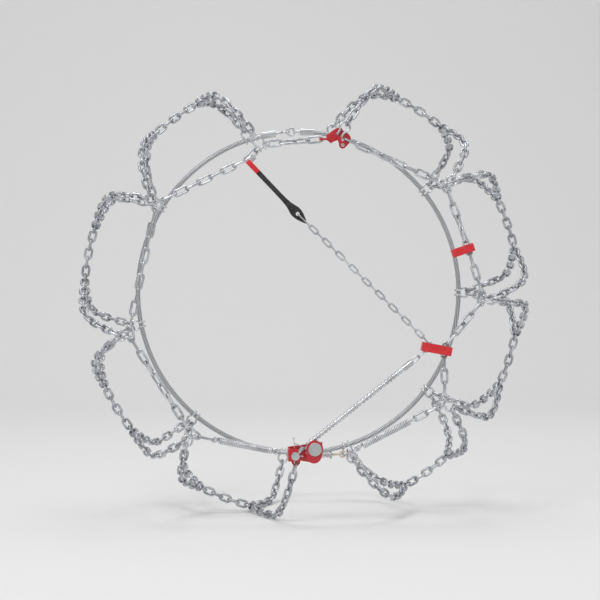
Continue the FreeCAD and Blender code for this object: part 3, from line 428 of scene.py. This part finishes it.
def linkTree():
    # a rounded wire loop with a small weld on one side, set on every point it is given
    growth = Growth("wire links", ("Length", "Width", "Wire", "Corner"), takesGeometry=True)
    given = growth.given
    sizes = {"Width": given["Length"], "Height": given["Width"]}
    box = growth.node("GeometryNodeCurvePrimitiveQuadrilateral", None, sizes)
    loop = growth.node("GeometryNodeFilletCurve", {"mode": "POLY"}, {
        "Curve": box, "Radius": given["Corner"], "Count": linkLook["cornerSteps"]})
    wire = growth.node("GeometryNodeCurvePrimitiveCircle", None, {
        "Radius": growth.scaled(given["Wire"], 0.5), "Resolution": linkLook["wireSides"]})
    bar = growth.node("GeometryNodeCurveToMesh", None, {"Curve": loop, "Profile Curve": wire})
    bulge = linkLook["weldBulge"]
    ball = growth.node("GeometryNodeMeshIcoSphere", None, {
        "Radius": growth.scaled(given["Wire"], 0.5 * bulge), "Subdivisions": 2})
    inwards = growth.scaled(given["Wire"], 0.5 * (1 - bulge))
    middle = growth.node("ShaderNodeMath", {"operation": "MULTIPLY_ADD"}, {
        0: given["Width"], 1: 0.5, 2: inwards})
    weld = growth.node("GeometryNodeTransform", None, {
        "Geometry": ball, "Translation": growth.node("ShaderNodeCombineXYZ", None, {"Y": middle}),
        "Scale": (linkLook["weldLength"], 1.0, linkLook["weldDepth"])})
    whole = growth.node("GeometryNodeJoinGeometry", None, {0: [bar, weld]})
    scattered = growth.node("GeometryNodeInstanceOnPoints", None, {
        "Points": given["Geometry"], "Instance": whole,
        "Rotation": growth.attribute("turn", "QUATERNION"),
        "Scale": growth.attribute("stretch", "FLOAT_VECTOR")})
    return growth.finish(scattered)


def scatterPoints(name, places, turns, stretches):
    data = bpy.data.meshes.new(name)
    data.from_pydata([tuple(p) for p in places], [], [])
    turn = data.attributes.new("turn", "QUATERNION", "POINT")
    turn.data.foreach_set("value", np.array(turns).reshape(-1))
    stretch = data.attributes.new("stretch", "FLOAT_VECTOR", "POINT")
    stretch.data.foreach_set("vector", np.array(stretches).reshape(-1))
    return data


def linkGroups(nodeNames):
    # links of nearly one size go together
    groups = []
    for nodeName in nodeNames:
        for island in islandsOf(nodeName):
            middle, axes, size = measured(island)
            for group in groups:
                if np.all(np.abs(group["size"] - size) < linkLook["alike"]):
                    break
            else:
                group = {"size": size, "links": []}
                groups.append(group)
            group["links"].append((middle, axes, size))
    return groups


def rebuildLinks(name, nodeNames, finishName, tree):
    made = []
    groups = linkGroups(nodeNames)
    for number, group in enumerate(groups):
        length, width, wire = (float(v) for v in group["size"])
        places, axes, sizes = zip(*group["links"])
        turns = [tuple(Matrix(three).to_quaternion()) for three in axes]
        stretches = [(float(size[0]) / length, 1.0, 1.0) for size in sizes]
        points = scatterPoints("%sPoints%d" % (name, number), places, turns, stretches)
        across = width - wire
        made.append(grow("%s%d" % (name, number), tree, {
            "Length": length - wire, "Width": across, "Wire": wire,
            "Corner": across * linkLook["cornerShare"], "Finish": finishes[finishName]}, points))
    whole = joined(name, made)
    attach(whole, bodyOf[nodeNames[0]])
    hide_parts(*nodeNames)
    slotOf(nodeNames[0])
    print(name, "has", sum(len(group["links"]) for group in groups), "links")


wireLinks = linkTree()
for pieceName, (finishName, nodeNames) in linkPieces.items():
    rebuildLinks(pieceName, nodeNames, finishName, wireLinks)
print("chain links rebuilt")


# edge rounding of the pressed, moulded and forged pieces, in metres
roundedEdges = {
    "closing_hook": 0.0007, "closing_hook_keeper": 0.0005, "ratchet_body": 0.0004,
    "ratchet_wheel_cover": 0.0005, "guide_clip": 0.0006, "spare_clip": 0.0006,
    "strap_sleeve": 0.0005, "t_stopper": 0.0005, "rubber_strap": 0.0007,
    "ratchet_wheel": 0.0002, "pawl": 0.0003, "closing_hook_rivet": 0.0003,
}


# angles in degrees
edgeLook = {"weld": 0.00001, "flatWithin": 0.6, "bevelOver": 38, "segments": 2, "sharpOver": 35}


def roundedCopy(nodeName, width):
    source = nodes[nodeName]
    mesh = bmesh.new()
    mesh.from_mesh(source.data)
    bmesh.ops.remove_doubles(mesh, verts=mesh.verts, dist=edgeLook["weld"])
    bmesh.ops.dissolve_degenerate(mesh, edges=mesh.edges, dist=edgeLook["weld"])
    flat = math.radians(edgeLook["flatWithin"])
    bmesh.ops.dissolve_limit(mesh, angle_limit=flat, verts=mesh.verts, edges=mesh.edges)
    data = bpy.data.meshes.new(nodeName + "_rounded")
    mesh.to_mesh(data)
    mesh.free()
    piece = bpy.data.objects.new(nodeName + "_rounded", data)
    scene.collection.objects.link(piece)
    bevel = piece.modifiers.new("edge", "BEVEL")
    bevel.width = width
    bevel.segments = edgeLook["segments"]
    bevel.limit_method = "ANGLE"
    bevel.angle_limit = math.radians(edgeLook["bevelOver"])
    bevel.use_clamp_overlap = True
    settle(piece)
    piece.data.shade_smooth()
    piece.data.set_sharp_from_angle(angle=math.radians(edgeLook["sharpOver"]))
    coat(piece, finishOfNode[nodeName])
    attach(piece, bodyOf[nodeName])
    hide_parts(nodeName)
    slotOf(nodeName)


for nodeName, width in roundedEdges.items():
    roundedCopy(nodeName, width)
print("edges rounded on", len(roundedEdges), "pieces")


springs = {
    "spring_left": {"start": (-0.1491, -0.128, -0.2366), "end": (-0.0586, -0.128, -0.2544),
                    "startEye": (-0.1584, -0.128, -0.2348), "endEye": (-0.0510, -0.1296, -0.2556),
                    "endTurned": False, "startBody": "net"},
    "spring_right": {"start": (0.0906, -0.128, -0.2476), "end": (0.1716, -0.128, -0.2062),
                     "startEye": (0.0808, -0.1285, -0.2520), "endEye": (0.1794, -0.128, -0.2022),
                     "endTurned": True, "startBody": "rope_tail_end"},
}
springWire = {"radius": 0.00138, "coilRadius": 0.0045, "pitch": 0.00284, "eyeRadius": 0.0042,
              "stepsPerTurn": 18, "wireSides": 8, "neckSteps": 8, "neckTurn": 0.6 * math.pi,
              "neckReach": 0.0016, "neckCurve": 1.5, "eyeSteps": 26, "eyeTurn": 1.92 * math.pi,
              "gap": 0.00015, "startPhase": 0.4, "endPhase": 2.2}
front = Vector((0, -1, 0))


def coilTree():
    growth = Growth("closed coils", ("Length", "Coil radius", "Wire radius", "Turns"))
    given = growth.given
    spiral = growth.node("GeometryNodeCurveSpiral", None, {
        "Resolution": springWire["stepsPerTurn"], "Rotations": given["Turns"],
        "Start Radius": given["Coil radius"], "End Radius": given["Coil radius"],
        "Height": given["Length"]})
    wire = growth.node("GeometryNodeCurvePrimitiveCircle", None, {
        "Radius": given["Wire radius"], "Resolution": springWire["wireSides"]})
    sweep = {"Curve": spiral, "Profile Curve": wire, "Fill Caps": True}
    return growth.finish(growth.node("GeometryNodeCurveToMesh", None, sweep))


def tube(name, points, radius, finishName):
    # a round wire along a list of points, as a mesh
    line = bpy.data.curves.new(name, "CURVE")
    line.dimensions = "3D"
    line.bevel_depth = radius
    line.bevel_resolution = 2
    line.use_fill_caps = True
    strip = line.splines.new("POLY")
    strip.points.add(len(points) - 1)
    for spot, point in zip(strip.points, points):
        spot.co = (*point, 1.0)
    holder = bpy.data.objects.new(name, line)
    scene.collection.objects.link(holder)
    shown = holder.evaluated_get(bpy.context.evaluated_depsgraph_get())
    data = bpy.data.meshes.new_from_object(shown)
    bpy.data.objects.remove(holder)
    data.shade_smooth()
    piece = bpy.data.objects.new(name, data)
    scene.collection.objects.link(piece)
    coat(piece, finishName)
    return piece


def springEye(name, coilEnd, eyeJoint, outwards, side, phase):
    # the last coil bent to the middle and round into a loop
    reach = springWire["eyeRadius"]
    centre = eyeJoint + outwards * (springWire["radius"] + springWire["gap"] - reach)
    other = outwards.cross(side)
    points = []
    for step in range(springWire["neckSteps"] + 1):
        share = step / springWire["neckSteps"]
        turn = phase + share * springWire["neckTurn"]
        rim = side * math.cos(turn) + other * math.sin(turn)
        away = springWire["coilRadius"] * (1 - share ** springWire["neckCurve"])
        points.append(coilEnd + rim * away + outwards * (share * springWire["neckReach"]))
    for step in range(springWire["eyeSteps"] + 1):
        turn = math.pi + step / springWire["eyeSteps"] * springWire["eyeTurn"]
        rim = outwards * (reach * math.cos(turn)) + side * (reach * math.sin(turn))
        points.append(centre + rim)
    return tube(name, points, springWire["radius"], "spring")


coils = coilTree()
for nodeName, place in springs.items():
    start = Vector(place["start"])
    end = Vector(place["end"])
    axis = (end - start).normalized()
    length = (end - start).length - 2 * springWire["radius"]
    turns = length / springWire["pitch"]
    body = grow(nodeName + "_coils", coils, {
        "Length": length, "Coil radius": springWire["coilRadius"],
        "Wire radius": springWire["radius"], "Turns": turns, "Finish": finishes["spring"]})
    across = front.cross(axis).normalized()
    frontwards = axis.cross(across)
    turned = Matrix((across, frontwards, axis)).transposed().to_4x4()
    body.data.transform(Matrix.Translation(start + axis * springWire["radius"]) @ turned)
    startOut = (Vector(place["startEye"]) - start).normalized()
    endOut = (Vector(place["endEye"]) - end).normalized()
    startSide = startOut.cross(front).normalized()
    endSide = endOut.cross(front).normalized()
    if place["endTurned"]:
        endSide = endOut.cross(endSide).normalized()
    eyeOne = springEye("eyeOne", start, Vector(place["startEye"]), startOut, startSide,
                       springWire["startPhase"])
    eyeTwo = springEye("eyeTwo", end, Vector(place["endEye"]), endOut, endSide,
                       springWire["endPhase"])
    whole = joined(nodeName + "_coiled", [body, eyeOne, eyeTwo])
    if place["startBody"] == bodyOf[nodeName]:
        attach(whole, bodyOf[nodeName])
    else:  # one eye goes with the rope's end, so the piece rides on no body and keeps its placement baked into the mesh
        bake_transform(whole)
    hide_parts(nodeName)
    slotOf(nodeName)


pawlSpring = {"middle": (-0.0218, -0.1426, -0.2614), "coilRadius": 0.0046, "wireRadius": 0.00052,
              "length": 0.0026, "turns": 2.25,
              "legs": [((-0.0172, -0.1426, -0.2614), (-0.0082, -0.1426, -0.2620)),
                       ((-0.0194, -0.1426, -0.2575), (-0.0146, -0.1426, -0.2506))]}
winding = grow("pawlSpringCoils", coils, {
    "Length": pawlSpring["length"], "Coil radius": pawlSpring["coilRadius"],
    "Wire radius": pawlSpring["wireRadius"], "Turns": pawlSpring["turns"],
    "Finish": finishes["spring"]})
lying = Matrix.Rotation(math.radians(90), 4, "X")
deep = Vector((0.0, pawlSpring["length"] / 2, 0.0))
winding.data.transform(Matrix.Translation(Vector(pawlSpring["middle"]) + deep) @ lying)
thin = pawlSpring["wireRadius"]
legs = [tube("pawlSpringLeg", leg, thin, "spring") for leg in pawlSpring["legs"]]
wound = joined("pawlSpringWound", [winding] + legs)
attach(wound, bodyOf["pawl_spring"])
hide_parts("pawl_spring")
slotOf("pawl_spring")
print("springs coiled")


studio = {"floorDrop": 0.0004, "floorHalf": 7.0, "wallDistance": 3.2, "wallHeight": 6.0,
          "curve": 1.4, "curveSteps": 16, "paper": (0.80, 0.80, 0.80, 1.0), "paperRough": 0.85,
          "sky": (1.0, 1.0, 1.0, 1.0), "world": 0.56}
lamps = {
    "keyLight": {"place": (-1.6, -2.2, 2.6), "size": (1.6, 1.2), "power": 44},
    "fillLight": {"place": (2.4, -1.8, 1.2), "size": (1.2, 1.6), "power": 10},
    "topLight": {"place": (0.2, 0.6, 2.8), "size": (2.0, 1.4), "power": 26},
}


def sweepFloor():
    # a pale floor that curves up into a wall behind the object
    low = cadBox[0][2] - studio["floorDrop"]
    half = studio["floorHalf"]
    wall = studio["wallDistance"]
    bend = studio["curve"]
    line = [(-half, low), (wall - bend, low)]
    for step in range(1, studio["curveSteps"] + 1):
        turn = step / studio["curveSteps"] * math.pi / 2
        line.append((wall - bend + bend * math.sin(turn), low + bend - bend * math.cos(turn)))
    line.append((wall, low + studio["wallHeight"]))
    verts = []
    faces = []
    for y, z in line:
        verts += [(-half, y, z), (half, y, z)]
    for i in range(len(line) - 1):
        faces.append((2 * i, 2 * i + 1, 2 * i + 3, 2 * i + 2))
    data = bpy.data.meshes.new("studioFloor")
    data.from_pydata(verts, [], faces)
    data.shade_smooth()
    floor = bpy.data.objects.new("studioFloor", data)
    scene.collection.objects.link(floor)
    pale = Finish("pale studio paper")
    pale.set(Base_Color=studio["paper"], Roughness=studio["paperRough"])
    data.materials.append(pale.material)


def softBox(name, place, size, power):  # a wide lamp that looks at the wheel centre
    light = bpy.data.lights.new(name, "AREA")
    light.shape = "RECTANGLE"
    light.size = size[0]
    light.size_y = size[1]
    light.energy = power
    lamp = bpy.data.objects.new(name, light)
    lamp.location = place
    lamp.rotation_euler = (-Vector(place)).to_track_quat("-Z", "Y").to_euler()
    scene.collection.objects.link(lamp)


sweepFloor()
world = bpy.data.worlds.new("studioWorld")
scene.world = world
world.use_nodes = True
backdrop = next(n for n in world.node_tree.nodes if n.type == "BACKGROUND")
backdrop.inputs["Color"].default_value = studio["sky"]
backdrop.inputs["Strength"].default_value = studio["world"]
for lampName, lamp in lamps.items():
    softBox(lampName, lamp["place"], lamp["size"], lamp["power"])

cameraPlan = {"place": (-0.1783, -2.9930, 0.1016), "aim": (-0.0058, 0.0, -0.0083),
              "lens": 103.9, "sensor": 36.0, "farEnd": 60.0}
eye = bpy.data.cameras.new("studioCamera")
eye.lens = cameraPlan["lens"]
eye.sensor_width = cameraPlan["sensor"]
eye.clip_end = cameraPlan["farEnd"]
camera = bpy.data.objects.new("studioCamera", eye)
camera.location = cameraPlan["place"]
gaze = Vector(cameraPlan["aim"]) - Vector(cameraPlan["place"])
camera.rotation_euler = gaze.to_track_quat("-Z", "Y").to_euler()
scene.collection.objects.link(camera)
scene.camera = camera
scene.view_settings.view_transform = "Standard"
print("studio ready")
